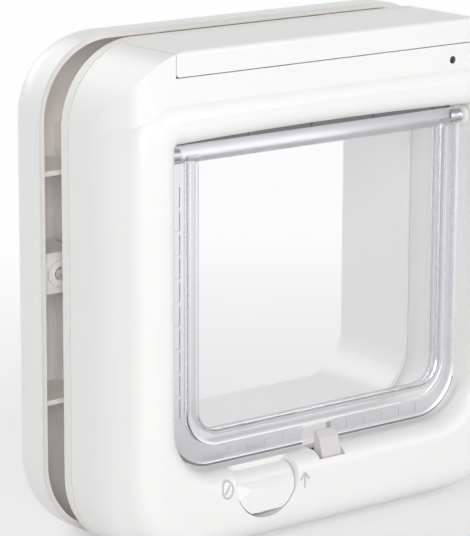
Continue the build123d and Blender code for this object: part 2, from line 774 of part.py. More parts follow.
def pad_outline(y, high, cut):
    """Outline of the grip pad at depth y, with sloping upper corners of width cut."""
    low = -dial_r - dial_gap
    fall = cut * pad_corner_slope
    with BuildSketch(front_plane(y)) as face:
        with Locations(*dial_spot):
            Polygon(
                (-dial_r, low),
                (dial_r, low),
                (dial_r, high - fall),
                (dial_r - cut, high),
                (cut - dial_r, high),
                (-dial_r, high - fall),
                align=None,
            )
    return face.sketch


with BuildPart() as grip_pad:
    loft([pad_outline(y_dial, pad_high, pad_cut), pad_outline(y_dial_face, pad_foot_high, pad_foot_cut)])
    extrude(discs(y_dial_back, dial_spot, dial_r), amount=dial_t, mode=Mode.INTERSECT)

with BuildPart() as lock_dial:
    extrude(discs(y_dial_back, dial_spot, dial_r), amount=dial_t)
    add(lip_body(sill_z, y_cup_back, dial_recess), mode=Mode.INTERSECT)
    add(grip_pad.part)
    with BuildSketch(Plane.YZ.offset(dial_x - dial_r)):
        Polygon(
            (y_dial, pad_foot),
            (y_dial + undercut_d, pad_foot - undercut_rake),
            (y_dial + undercut_d, dial_z - dial_r),
            (y_dial, dial_z - dial_r),
            align=None,
        )
    extrude(amount=2 * dial_r, mode=Mode.SUBTRACT)
    seat = discs(y_dial_back, dial_spot, spigot_r + pin_run)
    extrude(seat, amount=spigot_len + fit_gap, mode=Mode.SUBTRACT)
save(lock_dial, "lock_dial")

with BuildPart() as lock_dial_shaft:
    y_shaft_end = y_cam + dial_rear_t
    extrude(discs(y_cam, dial_spot, dial_shaft_r), amount=y_cam - y_dial_back)
    extrude(discs(y_shaft_end, dial_spot, spigot_r), amount=dial_rear_t)
    extrude(discs(y_dial_back, dial_spot, spigot_r), amount=spigot_len)
save(lock_dial_shaft, "lock_dial_shaft")

with BuildPart() as lock_dial_rear:
    with BuildSketch(front_plane(y_cam + dial_rear_t)):
        with Locations(*dial_spot):
            Circle(dial_r)
            paddle = sill_z - dial_z + dial_r
            with Locations((0, sill_z - dial_z)):
                Rectangle(2 * dial_rear_half, paddle, align=(Align.CENTER, Align.MAX), mode=Mode.INTERSECT)
            Circle(spigot_r + pin_run, mode=Mode.SUBTRACT)
    extrude(amount=dial_rear_t)
save(lock_dial_rear, "lock_dial_rear")

# Battery tray with a side wing for the learn button, four cells and their contacts
tray_low = arch_crown_z + lip_collar + fit_gap
cell_len = cell_body + cell_nub
bay_half_x = cell_len + cell_gap + contact_t + fit_gap
y_tray_front = y_brow + wall + fit_gap
y_tray_back = y_shell - fit_gap
bay_deep = y_tray_back - y_tray_front - 2 * tray_t
cell_r = bay_deep / 4 - cell_clear
cell_z = tray_low + tray_t + fit_gap + cell_r
cell_y = [y_tray_front + tray_t + bay_deep * share for share in (0.25, 0.75)]
tray_top = cell_z + cell_r / 2
button_x = bay_half_x + tray_t + tray_wing / 2
y_tray_mid = (y_tray_front + y_tray_back) / 2

with BuildPart() as battery_tray:
    with BuildSketch(Plane.XY.offset(tray_low)):
        with Locations((-bay_half_x - tray_t, y_tray_mid)):
            Rectangle(
                2 * (bay_half_x + tray_t) + tray_wing,
                bay_deep + 2 * tray_t,
                align=(Align.MIN, Align.CENTER),
            )
    extrude(amount=tray_top - tray_low)
    with BuildSketch(Plane.XY.offset(tray_low + tray_t)):
        for y in cell_y:
            with Locations((0, y)):
                Rectangle(2 * bay_half_x, bay_deep / 2 - fit_gap)
    extrude(amount=tray_top - tray_low, mode=Mode.SUBTRACT)
    with BuildSketch(Plane.XY.offset(tray_top)):
        with Locations((button_x, y_tray_mid)):
            Circle(button_r + pin_run)
    extrude(amount=-button_len, mode=Mode.SUBTRACT)
save(battery_tray, "battery_tray")

for number, (side, y) in enumerate([(side, y) for y in cell_y for side in (-1, 1)], start=1):
    with BuildPart() as battery_cell:
        with BuildSketch(Plane.YZ.offset(side * cell_gap / 2)):
            with Locations((y, cell_z)):
                Circle(cell_r)
        extrude(amount=side * cell_body)
        fillet(battery_cell.edges(), cell_edge_r)
        with BuildSketch(Plane.YZ.offset(side * (cell_gap / 2 + cell_body))):
            with Locations((y, cell_z)):
                Circle(cell_nub_r)
        extrude(amount=side * cell_nub)
    save(battery_cell, f"battery_cell_{number}")

with BuildPart() as battery_contacts:
    for side in (-1, 1):
        with BuildSketch(Plane.YZ.offset(side * bay_half_x)):
            with Locations(*[(y, cell_z - contact_drop) for y in cell_y]):
                Rectangle(contact_w, contact_w)
        extrude(amount=-side * contact_t)
save(battery_contacts, "battery_contacts")

with BuildPart() as learn_button:
    with BuildSketch(Plane.XY.offset(tray_top + button_proud)):
        with Locations((button_x, y_tray_mid)):
            Circle(button_r)
    extrude(amount=button_travel + fit_gap - button_len - button_proud)
    fillet(learn_button.faces().sort_by(Axis.Z)[-1].edges(), button_edge_r)
save(learn_button, "learn_button")

# Battery cover: top plate and front flange that follow the brow
with BuildPart() as battery_cover:
    with BuildSketch(Plane.YZ.offset(-cover_half_w)):
        with Locations((y_brow, frame_size)):
            Rectangle(y_cover_back - y_brow, cover_t, align=(Align.MIN, Align.MAX))
            Rectangle(cover_t, frame_size - cover_low_z, align=(Align.MIN, Align.MAX))
    extrude(amount=2 * cover_half_w)
    flange_corners = battery_cover.edges().filter_by(Axis.Y).group_by(Axis.Z)[0]
    fillet(flange_corners, cover_corner_r)
    add(brow_body(0), mode=Mode.INTERSECT)
save(battery_cover, "battery_cover")

with BuildPart() as status_light:
    extrude(discs(y_light_back, light_spot, light_r), amount=light_len)
    fillet(status_light.faces().sort_by(Axis.Y)[0].edges(), light_r / 2)
save(status_light, "status_light")

# Reader electronics: coil round the sleeve, board on its stand-offs, sensor lens in the roof
with BuildPart() as antenna_coil:
    y_coil = y_cam + dial_rear_t + coil_gap + coil_w
    inner_grow = sleeve_t + fit_gap
    extrude(opening_outline(y_coil, inner_grow + coil_t), amount=coil_w)
    extrude(opening_outline(y_coil, inner_grow), amount=coil_w, mode=Mode.SUBTRACT)
save(antenna_coil, "antenna_coil")

with BuildPart() as circuit_board:
    with BuildSketch(front_plane(board_y)):
        with Locations((sum(board_x) / 2, board_mid_z)):
            RectangleRounded(board_x[1] - board_x[0], board_z[1] - board_z[0], board_corner_r)
    extrude(amount=board_t)
    with BuildSketch(front_plane(board_y - board_t)):
        chip_right = board_x[1] - chip_in[1]
        with Locations((board_x[0] + chip_in[0], board_mid_z), (chip_right, board_mid_z + chip_up)):
            Rectangle(chip_w, chip_w)
        with Locations((board_x[0] + capacitor_in, board_z[0] + capacitor_in)):
            Circle(capacitor_r)
        with Locations((board_x[1] - plug_in, board_mid_z)):
            Rectangle(plug_w, plug_h)
    extrude(amount=chip_h)
save(circuit_board, "circuit_board")

with BuildPart() as sensor_lens:
    with BuildSketch(Plane.XY.offset(arch_crown_z + fit_gap)):
        with Locations((0, y_door_in - lens_ahead)):
            Circle(lens_r)
    extrude(amount=sleeve_t + lens_proud)
    fillet(sensor_lens.faces().sort_by(Axis.Z)[-1].edges(), lens_edge_r)
save(sensor_lens, "sensor_lens")

# Long screws that clamp the door, their brass inserts and outdoor covers
y_insert_tip = y_door_in - insert_len

with BuildPart() as screw_inserts:
    extrude(discs(y_door_in, screw_spots, insert_r), amount=insert_len)
    extrude(discs(y_door_in, screw_spots, screw_r + pin_run), amount=insert_len, mode=Mode.SUBTRACT)
save(screw_inserts, "screw_inserts")

with BuildPart() as fixing_screws:
    extrude(discs(y_recess + screw_head_t, screw_spots, screw_head_r), amount=screw_head_t)
    fillet(fixing_screws.faces().group_by(Axis.Y)[-1].edges(), screw_edge_r)
    with BuildSketch(front_plane(y_recess + screw_head_t)):
        with Locations(*screw_spots):
            Rectangle(screw_head_r, screw_cross_w)
            Rectangle(screw_cross_w, screw_head_r)
    extrude(amount=screw_head_t / 2, mode=Mode.SUBTRACT)
    extrude(discs(y_recess, screw_spots, screw_r), amount=y_recess - y_insert_tip - screw_spare)
save(fixing_screws, "fixing_screws")

with BuildPart() as screw_covers:
    y_cover_foot = y_recess + screw_head_t + fit_gap
    extrude(discs(y_out, screw_spots, recess_r - pin_run), amount=y_out - y_cover_foot)
    add(outer_full, mode=Mode.INTERSECT)
save(screw_covers, "screw_covers")

with BuildPart() as housing_screws:
    y_head = y_door_in - fit_gap
    extrude(discs(y_head, post_spots, post_head_r), amount=post_head_t)
    with BuildSketch(front_plane(y_head)):
        with Locations(*post_spots):
            Rectangle(post_head_r, post_cross_w)
            Rectangle(post_cross_w, post_head_r)
    extrude(amount=post_head_t / 2, mode=Mode.SUBTRACT)
    extrude(discs(y_head - post_head_t, post_spots, post_screw_r), amount=post_screw_len)
save(housing_screws, "housing_screws")
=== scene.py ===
# %% [markdown]
# An electronic cat flap: a white indoor housing with a clear swinging flap, a latch and a
# lock dial, and an outdoor frame on the far side of a door.
# The solids come from the CAD model, so this lesson only gives them their finishes, adds the
# small printed signs, and sets up the floor, the light and the camera.

# %% Load the solids
from math import cos, pi, radians, sin

import bmesh
import bpy
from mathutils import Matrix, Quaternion, Vector
from mathutils.bvhtree import BVHTree


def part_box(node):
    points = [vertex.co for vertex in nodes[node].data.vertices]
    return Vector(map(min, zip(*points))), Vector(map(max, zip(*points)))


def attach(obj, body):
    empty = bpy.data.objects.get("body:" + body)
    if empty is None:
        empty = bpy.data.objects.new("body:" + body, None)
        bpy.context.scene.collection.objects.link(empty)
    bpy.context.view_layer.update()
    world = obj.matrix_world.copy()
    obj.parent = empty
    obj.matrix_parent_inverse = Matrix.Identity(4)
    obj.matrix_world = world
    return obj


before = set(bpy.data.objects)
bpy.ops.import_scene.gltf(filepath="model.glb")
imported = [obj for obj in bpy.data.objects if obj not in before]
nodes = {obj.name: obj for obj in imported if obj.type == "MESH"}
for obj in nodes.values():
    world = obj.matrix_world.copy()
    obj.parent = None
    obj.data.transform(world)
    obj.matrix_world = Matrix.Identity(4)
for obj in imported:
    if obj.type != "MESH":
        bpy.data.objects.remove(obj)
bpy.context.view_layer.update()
mm = 0.001

# %% [markdown]
# The camera comes first, because every look is judged through it. It stands about 1.2 m from
# the flap, to its left and higher than its top. The lens is long, so that the upright edges
# stay nearly parallel. Blender measures a lens in millimetres over the longer side of the
# picture, so a focal length in pixels is turned into that.

# %% Camera
camera_at = Vector((-0.72387, -0.9051, 0.38216))
camera_towards = Vector((0.59840, 0.76674, -0.23243))
camera_roll = radians(0.23)
focal_px = 2837
image_height_px = 536
sensor_mm = 36
nearest_seen = 0.01

camera = bpy.data.objects.new("camera", bpy.data.cameras.new("camera"))
bpy.context.scene.collection.objects.link(camera)
camera.data.sensor_width = sensor_mm
camera.data.lens = focal_px * sensor_mm / image_height_px
camera.data.clip_start = nearest_seen
camera.location = camera_at
aim = camera_towards.to_track_quat("-Z", "Y")
camera.rotation_mode = "QUATERNION"
camera.rotation_quaternion = aim @ Quaternion((0, 0, 1), camera_roll)
bpy.context.scene.camera = camera
print("lens", round(camera.data.lens, 1), "mm")

# %% [markdown]
# Materials are graphs of nodes, and long graphs are hard to read in a script. A small class
# holds one output socket and lets Python's own operators add the Math nodes, so a formula in
# the script looks like a formula. One method adds any kind of node. A Mix node has sockets of
# the same name for numbers and for colours, so those for colours are taken by their place.

# %% A socket that understands arithmetic
mix_share, mix_dark, mix_light, mix_colour = 0, 6, 7, 2


class Wire:
    """One output socket in a tree of nodes, or only the tree, as a place to start."""

    def __init__(self, tree, socket=None):
        self.tree = tree
        self.socket = socket

    def node(self, kind, settings=None, inputs=None, output=0):
        """Adds a node, sets it up, fills or links its inputs and returns one of its outputs."""
        made = self.tree.nodes.new(kind)
        for name, value in (settings or {}).items():
            setattr(made, name, value)
        for name, value in (inputs or {}).items():
            plug(self.tree, value, made.inputs[name])
        return Wire(self.tree, made.outputs[output])

    def also(self, output):
        """Another output of the same node."""
        return Wire(self.tree, self.socket.node.outputs[output])

    def math(self, operation, first, second=0.0, clamp=False):
        settings = {"operation": operation, "use_clamp": clamp}
        return self.node("ShaderNodeMath", settings, {0: first, 1: second})

    def __add__(self, other):
        return self.math("ADD", self, other)

    def __radd__(self, other):
        return self.math("ADD", other, self)

    def __sub__(self, other):
        return self.math("SUBTRACT", self, other)

    def __rsub__(self, other):
        return self.math("SUBTRACT", other, self)

    def __mul__(self, other):
        return self.math("MULTIPLY", self, other)

    def __rmul__(self, other):
        return self.math("MULTIPLY", other, self)

    def __truediv__(self, other):
        return self.math("DIVIDE", self, other)

    def __rtruediv__(self, other):
        return self.math("DIVIDE", other, self)

    def size(self):
        return self.math("ABSOLUTE", self)

    def root(self):
        return self.math("SQRT", self)

    def most(self, other):
        return self.math("MAXIMUM", self, other)

    def least(self, other):
        return self.math("MINIMUM", self, other)

    def past(self, edge, width):
        """0 well below an edge, 1 well above it, with a soft change of the given width."""
        return self.math("ADD", (self - edge) / width, 0.5, clamp=True)

    def wave(self, pitch):
        """A wave between 0 and 1 that repeats at the given pitch."""
        return 0.5 + 0.5 * self.math("SINE", self * (2 * pi / pitch))

    def blend(self, dark, light):
        """A colour between two, with this wire as the share of the second."""
        sockets = {mix_share: self, mix_dark: dark, mix_light: light}
        return self.node("ShaderNodeMix", {"data_type": "RGBA"}, sockets, mix_colour)


def plug(tree, value, socket):
    """Links a wire to a socket, or writes a plain value on it."""
    if isinstance(value, Wire):
        tree.links.new(value.socket, socket)
    else:
        socket.default_value = value


def colour(red, green, blue):
    return (red, green, blue, 1)


print("wire class ready")

# %% [markdown]
# Every finish starts the same way: a Principled shader, and the place of a point in metres,
# taken from the object's own coordinates. Noise of a given grain size then gives each plastic
# its moulded grain and its slight unevenness. Object coordinates are used, as they need no
# unwrapping and keep the grain at its real size on every piece.

# %% Start of a finish
class Finish:
    """A material with one Principled shader, and the point that is being shaded."""

    def __init__(self, name):
        self.material = bpy.data.materials.new(name)
        self.material.use_nodes = True
        self.tree = self.material.node_tree
        self.shader = self.tree.nodes["Principled BSDF"]
        self.place = Wire(self.tree).node("ShaderNodeTexCoord", output="Object")
        self.x = self.place.node("ShaderNodeSeparateXYZ", inputs={0: self.place})
        self.y = self.x.also("Y")
        self.z = self.x.also("Z")

    def noise(self, grain, detail=2.0, at=None):
        """Noise between 0 and 1 with lumps of about the given size in metres."""
        sockets = {"Vector": at or self.place, "Scale": 1 / grain, "Detail": detail}
        return self.place.node("ShaderNodeTexNoise", inputs=sockets)

    def bump(self, height, depth):
        """A Normal from a height signal between 0 and 1 that spans depth in metres."""
        return self.place.node("ShaderNodeBump", inputs={"Height": height, "Distance": depth})

    def set(self, **values):
        """Plain values or wires for the shader's sockets, named with underscores for spaces."""
        for name, value in values.items():
            plug(self.tree, value, self.shader.inputs[name.replace("_", " ")])
        return self.material

    def mix_in(self, share, other):
        """Puts another shader in place of the Principled one, by a share between 0 and 1."""
        own = Wire(self.tree, self.shader.outputs["BSDF"])
        mixed = share.node("ShaderNodeMixShader", inputs={0: share, 1: own, 2: other})
        plug(self.tree, mixed, self.tree.nodes["Material Output"].inputs["Surface"])
        return self.material


def dress(material, *names):
    """Gives CAD solids one material."""
    for name in names:
        slots = nodes[name].data.materials
        slots.clear()
        slots.append(material)


print("finish class ready")

# %% [markdown]
# Several finishes change at the outline of a rounded rectangle seen from the front. The mesh
# could be cut there, but a formula keeps the solids as they are. The distance from such an
# outline follows from the place of a point: how far it lies past the straight sides, and at a
# corner how far from the corner's centre.

# %% Distance from a rounded rectangle
edge_soft = 0.4 * mm


def beyond(across, upward, corner):
    """Distance outside a rounded outline, from the distances past its sides."""
    far_x = across + corner
    far_z = upward + corner
    out_x = far_x.most(0)
    out_z = far_z.most(0)
    from_centre = (out_x * out_x + out_z * out_z).root()
    return from_centre + far_x.most(far_z).least(0) - corner


print("outline function ready")

# %% [markdown]
# The outdoor frame is a hollow shell, and one can look into it through the gap for the door.
# Thin white walls let in a little warm light there. Scattering below the surface would show
# that, but it doubles the time of a render, so that light is painted instead: the inside gets a
# paler and warmer white.
# This mask finds the inside: within the shell's rounded form, and outside the tunnel.

# %% Painted light inside the outdoor frame
shell_half_t = 1.2 * mm
shell_corner = 34 * mm
shell_back_r = 22 * mm
tunnel_wall = 1.2 * mm
tunnel_half = 79 * mm
tunnel_low = 36.5 * mm
tunnel_high = 174 * mm
tunnel_corner = 24 * mm


def painted_glow_mask(finish):
    """1 on the faces inside the outdoor frame's shell, where light is painted, and 0 on its outside
    and in the tunnel.
    """
    low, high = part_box("exterior_frame")
    across = finish.x.size() - high[0]
    upward = (finish.z - (low[2] + high[2]) / 2).size() - (high[2] - low[2]) / 2
    outline = beyond(across, upward, shell_corner)
    form = beyond(outline, finish.y - high[1], shell_back_r)
    in_shell = 1 - form.past(-shell_half_t, edge_soft)
    tunnel_across = finish.x.size() - (tunnel_half + tunnel_wall)
    tunnel_mid = (tunnel_low + tunnel_high) / 2
    tunnel_upward = (finish.z - tunnel_mid).size() - (tunnel_high - tunnel_mid + tunnel_wall)
    past_tunnel = beyond(tunnel_across, tunnel_upward, tunnel_corner).past(0, edge_soft)
    return in_shell * past_tunnel


print("inside mask ready")

# %% [markdown]
# The housing, the outdoor frame and their covers are injection-moulded in one warm white
# plastic. The mould's surface is finely sparked, so the plastic is satin, not mirror-bright.
# A plain grey-white would look like paper, so a fine noise gives the grain in gloss and relief,
# and a broad one a barely visible flow of tone. Pieces inside are a little greyer and duller.

# %% White moulded plastic
flow_size = 60 * mm
spark_size = 0.35 * mm
spark_depth = 0.012 * mm
inner_spark_depth = 0.02 * mm
shell_gloss = 0.30
inner_gloss = 0.42
spark_gloss = 0.08
shell_light = colour(0.86, 0.858, 0.852)
shell_dark = colour(0.84, 0.837, 0.83)
# Paler, warmer white for the inside of the outdoor shell: painted light for the light its thin walls
# pass.
inside_painted_glow = colour(0.95, 0.912, 0.88)
inner_light = colour(0.83, 0.82, 0.80)
inner_dark = colour(0.80, 0.79, 0.77)


def white_plastic(name, light, dark, gloss, grain_depth, inside=None):
    finish = Finish(name)
    flow = finish.noise(flow_size)
    grain = finish.noise(spark_size, detail=3)
    tone = flow.blend(dark, light)
    if inside:
        # Inside the outdoor shell the white is painted paler and warmer: painted light.
        tone = painted_glow_mask(finish).blend(tone, inside)
    return finish.set(
        Base_Color=tone,
        Roughness=gloss + spark_gloss * grain,
        Normal=finish.bump(grain, grain_depth),
        IOR=1.5,
    )


shell_look = (shell_light, shell_dark, shell_gloss, spark_depth)
shell_white = white_plastic("shell_white", *shell_look)
outdoor_white = white_plastic("outdoor_white", *shell_look, inside=inside_painted_glow)
inner_look = (inner_light, inner_dark, inner_gloss, inner_spark_depth)
inner_white = white_plastic("inner_white", *inner_look)
dress(shell_white, "interior_housing", "battery_cover", "lock_dial")
dress(outdoor_white, "exterior_frame", "screw_covers")
dress(inner_white, "interior_back_plate", "battery_tray", "motor_bracket")
dress(inner_white, "lock_dial_shaft", "lock_dial_rear", "hinge_bush_left", "hinge_bush_right")
print("white plastic on", shell_white.users + outdoor_white.users, "and", inner_white.users, "solids")

# %% [markdown]
# The flap is one clear moulding, but it doesn't look the same all over. The window is polished.
# The bead round it is a little frosted, and the flange and the hinge roll are more so: they pass
# light, but blur it. Their cool grey tint is partly that frost and partly painted shade from behind.
# The bead's inner edge is a steep step that bends light away, and its dark line is painted shade,
# a grey tint along the edge. One material with masks keeps the flap in one piece, and all the
# masks come from the distance to the window's outline and from the height of the roll.

# %% Window and rim of the flap
rim_w = 12.7 * mm
rim_low_w = 14.4 * mm
roll_d = 7.2 * mm
window_corner = 10 * mm
bead_w = 6.5 * mm
bead_edge_w = 1.8 * mm


def rim_masks(finish):
    """Masks of the whole rim, of the flange with the hinge roll, and of the bead's inner edge for
    painted shade.
    """
    low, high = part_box("flap")
    across = finish.x.size() - (high[0] - rim_w)
    below = (low[2] + rim_low_w) - finish.z
    outward = beyond(across, below, window_corner)
    roll = finish.z.past(high[2] - roll_d, edge_soft)
    rim = outward.past(0, edge_soft)
    flange = outward.past(bead_w, edge_soft).most(roll)
    edge_shade_mask = rim * (1 - outward.past(bead_edge_w, edge_soft)) * (1 - roll)
    return rim.most(roll), flange, edge_shade_mask


print("rim masks ready")

# %% [markdown]
# Clear plastic needs true transmission, with a low roughness where it is polished. Soft light
# also reaches the tunnel through the real flap. A renderer finds such light through a refracting
# solid only slowly and with much noise, so rays from lamps and from pale walls pass this plastic
# straight, with a slight tint. What the camera sees is still refracted.

# %% Clear flap
scuff_size = 4 * mm
ripple_size = 25 * mm
ripple_depth = 0.02 * mm
window_gloss = 0.015
scuff_gloss = 0.03
bead_frost = 0.08
flange_frost = 0.18
window_dark = colour(0.965, 0.97, 0.98)
window_light = colour(0.98, 0.985, 0.99)
bead_tint = colour(0.95, 0.955, 0.98)
flange_frost_and_shade = colour(0.87, 0.875, 0.925)
edge_painted_shade = colour(0.58, 0.59, 0.64)
passing_tint = colour(0.95, 0.95, 0.96)


def clear_plastic(name):
    finish = Finish(name)
    scuffs = finish.noise(scuff_size, detail=4)
    ripples = finish.noise(ripple_size)
    rim, flange, edge_shade_mask = rim_masks(finish)
    window_tint = ripples.blend(window_dark, window_light)
    # The flange's cool grey tint is partly frost and partly painted shade.
    tint = rim.blend(window_tint, flange.blend(bead_tint, flange_frost_and_shade))
    polish = window_gloss + scuff_gloss * scuffs
    finish.set(
        # The grey along the bead's inner edge is painted shade, for the light that the step bends
        # away.
        Base_Color=edge_shade_mask.blend(tint, edge_painted_shade),
        Roughness=polish + bead_frost * rim + flange_frost * flange,
        Normal=finish.bump(ripples, ripple_depth),
        Transmission_Weight=1.0,
        IOR=1.49,
    )
    from_lamp = rim.node("ShaderNodeLightPath", output="Is Shadow Ray")
    from_wall = from_lamp.also("Is Diffuse Ray")
    straight_on = rim.node("ShaderNodeBsdfTransparent", inputs={"Color": passing_tint})
    return finish.mix_in(from_lamp.most(from_wall), straight_on)


flap_clear = clear_plastic("flap_clear")
dress(flap_clear, "flap")
print("clear plastic on", flap_clear.users, "solid")

# %% [markdown]
# The latch is moulded in a tougher grey plastic with a slight warm cast, and the learn button in
# black. The draught strip and the seal under the flap are soft rubber and dull; their dark grey is
# partly their own colour and partly painted shade for the gaps above and under the flap. The two
# lenses are smooth and nearly black. They differ only in numbers, so one function
# covers them all: a fine grain in colour, gloss and relief.

# %% Coloured plastics and rubber
grain_gloss = 0.1
grain_relief = 0.015 * mm


def grained(name, base, deep, gloss, grain_size):
    finish = Finish(name)
    grain = finish.noise(grain_size, detail=3)
    return finish.set(
        Base_Color=grain.blend(deep, base),
        Roughness=gloss + grain_gloss * grain,
        Normal=finish.bump(grain, grain_relief),
    )


latch_grey = grained(
    "latch_grey",
    base=colour(0.66, 0.63, 0.635),
    deep=colour(0.62, 0.59, 0.595),
    gloss=0.32,
    grain_size=0.5 * mm,
)
black_plastic = grained(
    "black_plastic",
    base=colour(0.03, 0.03, 0.034),
    deep=colour(0.018, 0.018, 0.02),
    gloss=0.35,
    grain_size=0.4 * mm,
)
dark_lens = grained(
    "dark_lens",
    base=colour(0.03, 0.012, 0.014),
    deep=colour(0.02, 0.008, 0.01),
    gloss=0.08,
    grain_size=1 * mm,
)
# Dark grey on the two seals: partly rubber, partly painted shade of the gaps above and under the
# flap.
strip_rubber = grained(
    "strip_rubber",
    base=colour(0.25, 0.23, 0.24),
    deep=colour(0.2, 0.185, 0.195),
    gloss=0.62,
    grain_size=0.3 * mm,
)
dress(latch_grey, "latch", "latch_pinion")
dress(black_plastic, "learn_button")
dress(dark_lens, "sensor_lens", "status_light")
dress(strip_rubber, "draught_strip", "flap_seal")
print("coloured plastics and rubber ready")

# %% [markdown]
# A battery cell is a steel can in a printed sleeve. The sleeve is dark with a copper-coloured
# band towards the plus end, and both ends stay bare. An image could be wrapped round each cell,
# but the bands are only rings, so they follow from the distance to the middle of the row, where
# the minus ends meet.

# %% Battery cells
sleeve_start = 1.2 * mm
band_start = 37 * mm
sleeve_end = 48.4 * mm
ink_size = 1.5 * mm
sleeve_gloss = 0.22
ink_gloss = 0.06
sleeve_cover = 0.7
cell_count = 4
can_steel = colour(0.6, 0.6, 0.62)
sleeve_dark = colour(0.03, 0.03, 0.034)
sleeve_light = colour(0.045, 0.045, 0.05)
band_copper = colour(0.5, 0.25, 0.1)


def cell_finish(name):
    finish = Finish(name)
    along = finish.x.size()
    ink = finish.noise(ink_size)
    band = along.past(band_start, edge_soft)
    sleeve = along.past(sleeve_start, edge_soft) * (1 - along.past(sleeve_end, edge_soft))
    printed = band.blend(ink.blend(sleeve_dark, sleeve_light), band_copper)
    return finish.set(
        Base_Color=sleeve.blend(can_steel, printed),
        Roughness=sleeve_gloss + ink_gloss * ink,
        Metallic=1 - sleeve_cover * sleeve,
    )


dress(cell_finish("cell_wrap"), *[f"battery_cell_{place + 1}" for place in range(cell_count)])
print(cell_count, "battery cells ready")

# %% [markdown]
# The circuit board is green lacquer over glass fibre, and its components stand up from it in
# black. Board and components are one solid, so height tells them apart: what is further forward
# than the board's face is a component.

# %% Circuit board
component_h = 1.6 * mm
weave_size = 1.2 * mm
component_gloss = 0.42
lacquer_shine = 0.15
lacquer_dark = colour(0.02, 0.14, 0.055)
lacquer_light = colour(0.03, 0.2, 0.08)
component_black = colour(0.02, 0.02, 0.022)


def board_finish(name):
    finish = Finish(name)
    front_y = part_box("circuit_board")[0][1]
    weave = finish.noise(weave_size)
    bare = finish.y.past(front_y + component_h - edge_soft, edge_soft / 2)
    return finish.set(
        Base_Color=bare.blend(component_black, weave.blend(lacquer_dark, lacquer_light)),
        Roughness=component_gloss - lacquer_shine * bare,
    )


dress(board_finish("board_green"), "circuit_board")
print("circuit board ready")

# %% [markdown]
# Screws, pins, contacts and the motor's can are plated steel, and the inserts are brass. Drawn
# metal has fine streaks along one axis. An anisotropic shader could smear the highlights, but
# streaks also show close up in colour and relief. A stretched noise gives them: the place of a
# point is pressed together along that axis first, so each lump becomes a streak.

# %% Metals
streak_size = 0.15 * mm
streak_press = 0.08
streak_relief = 0.005 * mm
streak_gloss = 0.15
worn_share = 0.85


def drawn_metal(name, base, gloss, along):
    finish = Finish(name)
    press = tuple(streak_press if axis == along else 1.0 for axis in "XYZ")
    settings = {"operation": "MULTIPLY"}
    drawn = finish.place.node("ShaderNodeVectorMath", settings, {0: finish.place, 1: press})
    streaks = finish.noise(streak_size, at=drawn)
    worn = colour(*(worn_share * level for level in base[:3]))
    return finish.set(
        Base_Color=streaks.blend(worn, base),
        Roughness=gloss + streak_gloss * streaks,
        Normal=finish.bump(streaks, streak_relief),
        Metallic=1.0,
    )


steel_long = drawn_metal("steel_long", colour(0.62, 0.63, 0.65), gloss=0.25, along="Y")
steel_cross = drawn_metal("steel_cross", colour(0.8, 0.805, 0.825), gloss=0.45, along="X")
brass = drawn_metal("brass", colour(0.72, 0.55, 0.25), gloss=0.3, along="Y")
dress(steel_long, "fixing_screws", "housing_screws", "latch_motor", "motor_shaft")
dress(steel_cross, "hinge_pin_left", "hinge_pin_right", "battery_contacts")
dress(brass, "screw_inserts")
print("metals ready")

# %% [markdown]
# The reader's coil is one solid ring in the model, but the real one is a few dozen turns of
# enamelled copper wire side by side. It is hidden inside the housing, so the turns aren't
# modelled one by one: a wave across the ring's width gives their relief, and paints shade in
# the grooves between turns.

# %% Wound coil
wire_pitch = 0.4 * mm
wire_relief = 0.1 * mm
groove_painted_shade = colour(0.32, 0.13, 0.06)
wire_light = colour(0.62, 0.29, 0.15)


def wound_wire(name):
    finish = Finish(name)
    turns = finish.y.wave(wire_pitch)
    return finish.set(
        # Darker copper in the grooves between turns is painted shade.
        Base_Color=turns.blend(groove_painted_shade, wire_light),
        Roughness=0.3,
        Metallic=0.8,
        Normal=finish.bump(turns, wire_relief),
    )


dress(wound_wire("coil_wire"), "antenna_coil")
undressed = [name for name, solid in nodes.items() if not solid.data.materials]
print("coil ready, solids without a finish:", undressed)

# %% [markdown]
# Two small signs are printed beside the dial, pale grey on white: a crossed-out ring for locked
# and an arrow for open. An image could be projected on the panel, but thin ribbons stay sharp
# at any distance. Rays sent backward from the front find the surface below each point, so that
# a ribbon follows the curved panel and stands only a tenth of a millimetre proud.

# %% A line of print
line_w = 0.9 * mm
print_proud = 0.1 * mm
print_sunk = 0.05 * mm
ray_start_y = -0.2
depsgraph = bpy.context.evaluated_depsgraph_get()
housing_surface = BVHTree.FromObject(nodes["interior_housing"], depsgraph)


def surface_y(x, z):
    """Depth of the housing's front at a point of the front view."""
    hit = housing_surface.ray_cast(Vector((x, ray_start_y, z)), Vector((0, 1, 0)))[0]
    return hit.y


def print_section(bm, point, along):
    """Four corners across a line of print: two proud of the housing and two sunk in it."""
    across = Vector((-along.y, along.x)) * line_w / 2
    left = point + across
    right = point - across
    proud = [(left, -print_proud), (right, -print_proud)]
    sunk = [(right, print_sunk), (left, print_sunk)]
    places = [(edge.x, surface_y(edge.x, edge.y) + lift, edge.y) for edge, lift in proud + sunk]
    return [bm.verts.new(place) for place in places]


def ribbon(bm, path, closed):
    """A flat line of print along points (x, z) of the front view."""
    last = len(path) - 1
    sections = []
    for place, point in enumerate(path):
        before = path[place - 1] if closed or place > 0 else point
        after = path[(place + 1) % len(path)] if closed or place < last else point
        sections.append(print_section(bm, point, (after - before).normalized()))
    runs = list(zip(sections, sections[1:]))
    if closed:
        runs.append((sections[-1], sections[0]))
    for one, two in runs:
        for corner in range(len(one)):
            other = (corner + 1) % len(one)
            bm.faces.new((one[corner], one[other], two[other], two[corner]))
    if not closed:
        bm.faces.new(reversed(sections[0]))
        bm.faces.new(sections[-1])


print("line of print", line_w, "m wide")

# %% [markdown]
# Each sign is a few paths in its own small frame, from -1 to 1 across and upward. That keeps the
# drawing apart from its place and size. The signs ride on the fixed frame, as print does.

